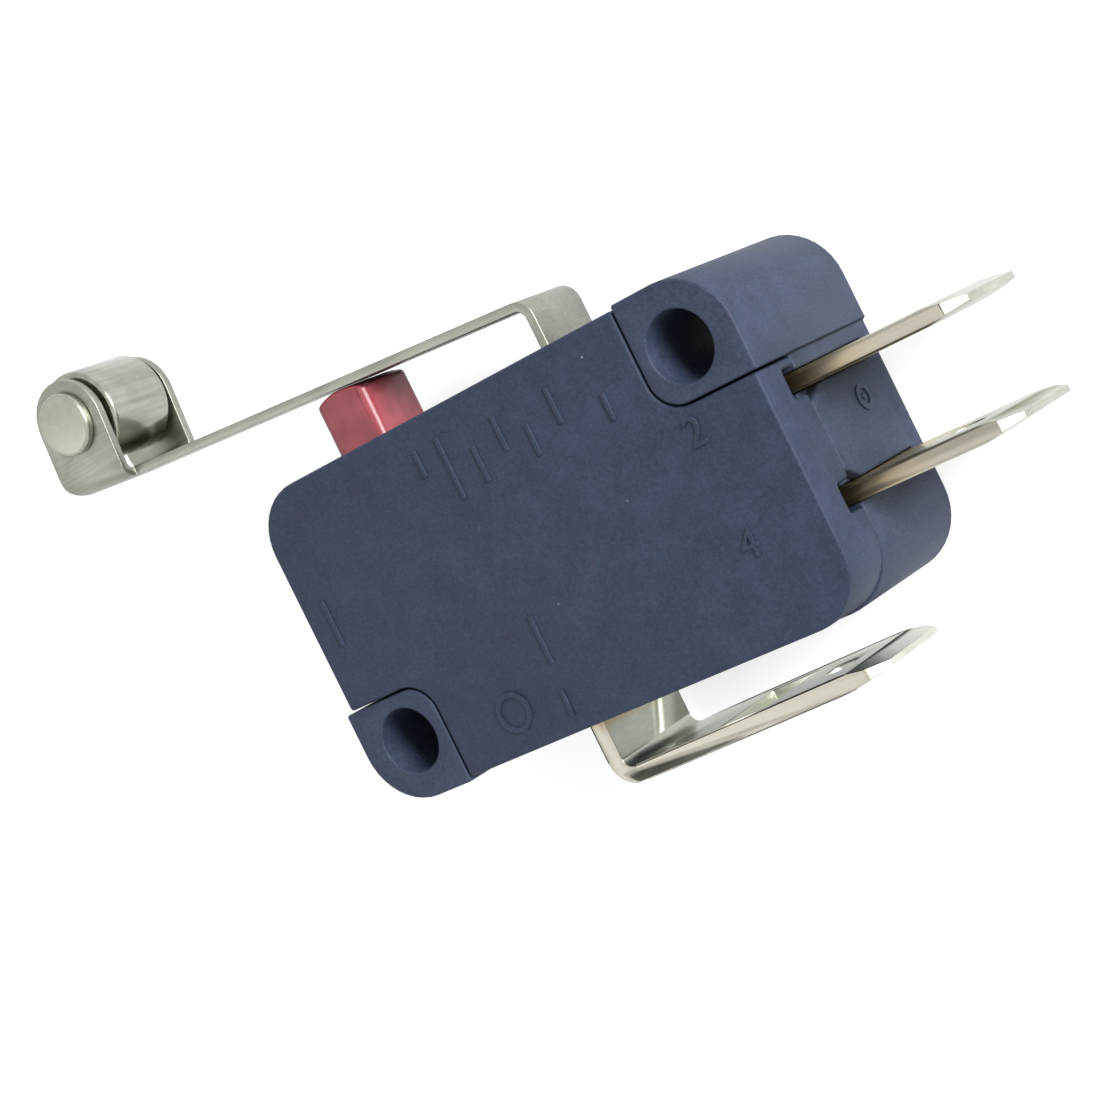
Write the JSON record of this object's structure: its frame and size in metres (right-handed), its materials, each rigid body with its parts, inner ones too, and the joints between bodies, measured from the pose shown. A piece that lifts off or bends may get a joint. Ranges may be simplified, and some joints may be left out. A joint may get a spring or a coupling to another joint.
{
  "type": "lever micro switch",
  "caption": "Snap-action micro switch with a hinged roller lever, red plunger, dark moulded housing and quick-connect blades",
  "frame": {"origin": "on the axis of the lower mounting hole, at the housing's back face", "axes": "+X along the housing towards the two end blades, +Y across it towards the lever, +Z through its thickness from the back face"},
  "size_m": [0.0479, 0.0293, 0.0103],
  "materials": {
    "moulded_case": "dark blue-grey moulded thermoset with a fine matt surface",
    "moulded_cover": "dark blue-grey moulded thermoset with a fine matt surface",
    "red_plastic": "red moulded plastic, slightly glossy",
    "nickel_sheet": "nickel-plated steel sheet, satin with fine rolling lines",
    "turned_steel": "turned and nickel-plated steel",
    "tinned_blade": "tinned brass sheet with bare brass at the roots",
    "contact_silver": "silver contact rivet",
    "spring_bronze": "bronze spring sheet",
    "spring_wire": "bright spring wire"
  },
  "bodies": {
    "housing": {"case": "moulded_case", "cover": "moulded_cover", "com_terminal": "tinned_blade", "nc_terminal": "tinned_blade", "no_terminal": "tinned_blade", "nc_contact": "contact_silver", "no_contact": "contact_silver"},
    "lever": {"lever": "nickel_sheet", "roller_pin": "turned_steel"},
    "roller": {"roller": "turned_steel"},
    "plunger": {"plunger": "red_plastic"},
    "drive_arm": {"drive_arm": "spring_bronze"},
    "contact_arm": {"contact_arm": "spring_bronze", "moving_contact": "contact_silver"},
    "snap_spring": {"snap_spring": "spring_wire"}
  },
  "joints": [
    {"name": "lever_hinge", "type": "hinge", "parent": "housing", "child": "lever", "pos_m": [0.01413, 0.0123, 0.00515], "axis": [0, 0, 1], "range_deg": [0, 7.7], "stiffness_Nm_per_rad": 0.02},
    {"name": "roller_spin", "type": "hinge", "parent": "lever", "child": "roller", "pos_m": [-0.01259, 0.0208, 0.00515], "axis": [0, 0, 1], "continuous": true},
    {"name": "plunger_slide", "type": "slide", "parent": "housing", "child": "plunger", "axis": [0, -1, 0], "range_m": [0, 0.00157]},
    {"name": "drive_arm_hinge", "type": "hinge", "parent": "housing", "child": "drive_arm", "pos_m": [0.0075, 0.00347, 0.00428], "axis": [0, 0, 1], "range_deg": [0, 15.89]},
    {"name": "contact_arm_hinge", "type": "hinge", "parent": "housing", "child": "contact_arm", "pos_m": [0.0082, 0.00438, 0.00428], "axis": [0, 0, 1], "range_deg": [-5.07, 0]},
    {"name": "snap_spring_hinge", "type": "hinge", "parent": "contact_arm", "child": "snap_spring", "pos_m": [0.01464, 0.00466, 0.00428], "axis": [0, 0, 1], "range_deg": [0, 8.17]}
  ],
  "couplings": [
    {"joint": "plunger_slide", "follows": "lever_hinge", "m_per_rad": 0.011683},
    {"joint": "drive_arm_hinge", "follows": "lever_hinge", "ratio": 2.0634},
    {"joint": "contact_arm_hinge", "follows": "lever_hinge", "ratio": -0.65846},
    {"joint": "snap_spring_hinge", "follows": "lever_hinge", "ratio": 1.061}
  ]
}
